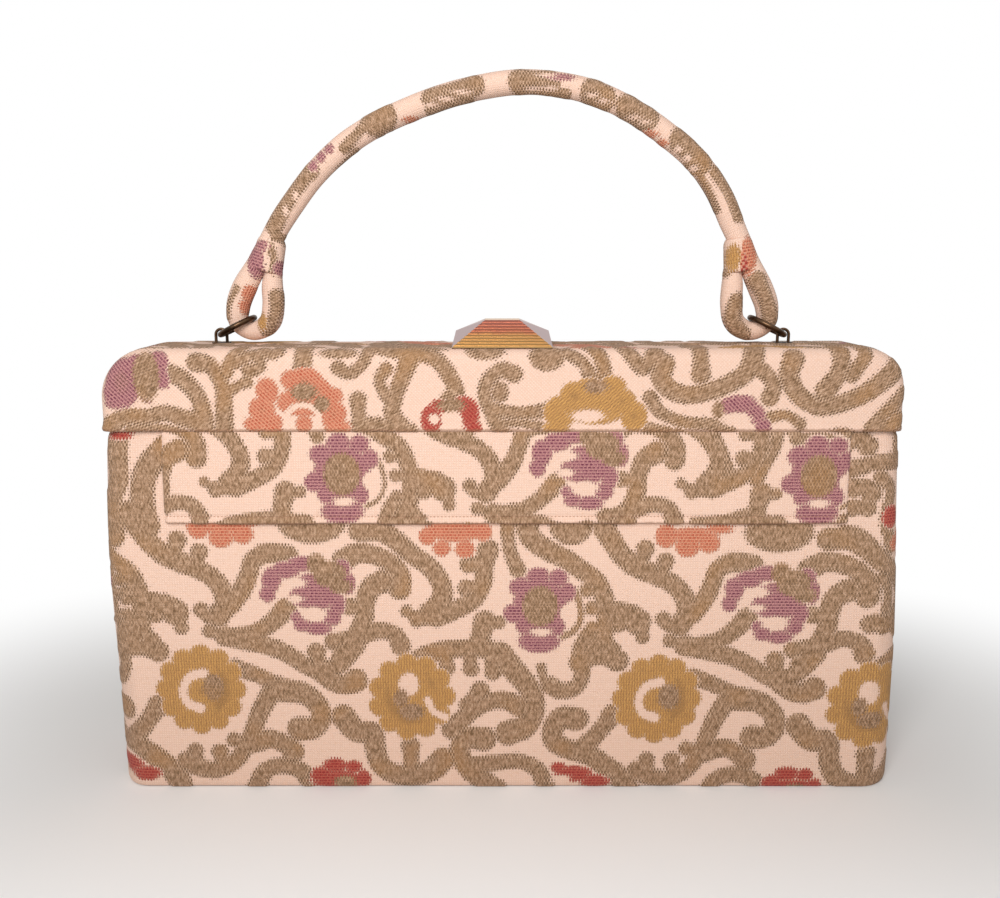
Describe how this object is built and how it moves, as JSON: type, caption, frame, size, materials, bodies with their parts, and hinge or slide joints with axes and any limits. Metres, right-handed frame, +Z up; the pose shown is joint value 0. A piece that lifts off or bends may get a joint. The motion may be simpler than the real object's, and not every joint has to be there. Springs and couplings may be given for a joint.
{
  "type": "carpet bag",
  "caption": "Boxy tapestry handbag with a covered hinge frame, a ridged lift clasp, a front slip pocket and a rolled top handle on metal rings.",
  "frame": {"origin": "centre of the base, on the surface that the bag stands on", "axes": "+Z up, the front with its pocket faces -Y, +X to the right seen from the front"},
  "size_m": [0.3088, 0.0516, 0.2775],
  "materials": {
    "tapestry": "ribbed weave",
    "frame_tapestry": "ribbed weave",
    "handle_tapestry": "ribbed weave",
    "board": "matte",
    "lining": "satin",
    "steel": "satin",
    "gilt": "polished",
    "bronze": "antique"
  },
  "bodies": {
    "body": {"front_panel": "tapestry", "rear_panel": "tapestry", "base_panel": "tapestry", "left_gusset": "tapestry", "right_gusset": "tapestry", "front_board": "board", "rear_board": "board", "base_board": "board", "lining": "lining", "pocket_band": "tapestry", "left_hinge_rivet": "steel", "right_hinge_rivet": "steel"},
    "front_frame": {"front_rail": "steel", "front_frame_cover": "frame_tapestry", "clasp_keeper": "gilt"},
    "rear_frame": {"rear_rail": "steel", "rear_frame_cover": "frame_tapestry", "clasp_base": "gilt", "clasp_pin": "steel", "clasp_spring": "steel", "left_handle_eye": "bronze", "right_handle_eye": "bronze"},
    "clasp": {"clasp_lever": "gilt"},
    "left_ring": {"left_ring": "bronze"},
    "right_ring": {"right_ring": "bronze"},
    "handle": {"handle": "handle_tapestry", "left_collar": "handle_tapestry", "right_collar": "handle_tapestry"}
  },
  "joints": [
    {"name": "rear_frame_open", "type": "hinge", "parent": "body", "child": "rear_frame", "pos_m": [0, 0, 0.123], "axis": [-1, 0, 0], "range_deg": [0, 24]},
    {"name": "front_frame_open", "type": "hinge", "parent": "body", "child": "front_frame", "pos_m": [0, 0, 0.123], "axis": [1, 0, 0], "range_deg": [0, 24]},
    {"name": "clasp_lift", "type": "hinge", "parent": "rear_frame", "child": "clasp", "pos_m": [0, 0.0032, 0.1769], "axis": [-1, 0, 0], "range_deg": [0, 40], "stiffness_Nm_per_rad": 0.02, "springref_deg": -11.46},
    {"name": "handle_swing", "type": "hinge", "parent": "rear_frame", "child": "handle", "pos_m": [0, 0.006, 0.17747], "axis": [1, 0, 0], "range_deg": [-45, 45]},
    {"name": "left_ring_swing", "type": "hinge", "parent": "rear_frame", "child": "left_ring", "pos_m": [0, 0.006, 0.17747], "axis": [1, 0, 0], "range_deg": [-30, 30]},
    {"name": "right_ring_swing", "type": "hinge", "parent": "rear_frame", "child": "right_ring", "pos_m": [0, 0.006, 0.17747], "axis": [1, 0, 0], "range_deg": [-30, 30]}
  ],
  "couplings": [
    {"joint": "front_frame_open", "follows": "rear_frame_open", "ratio": 1},
    {"joint": "left_ring_swing", "follows": "handle_swing", "ratio": 0.66},
    {"joint": "right_ring_swing", "follows": "handle_swing", "ratio": 0.66}
  ]
}
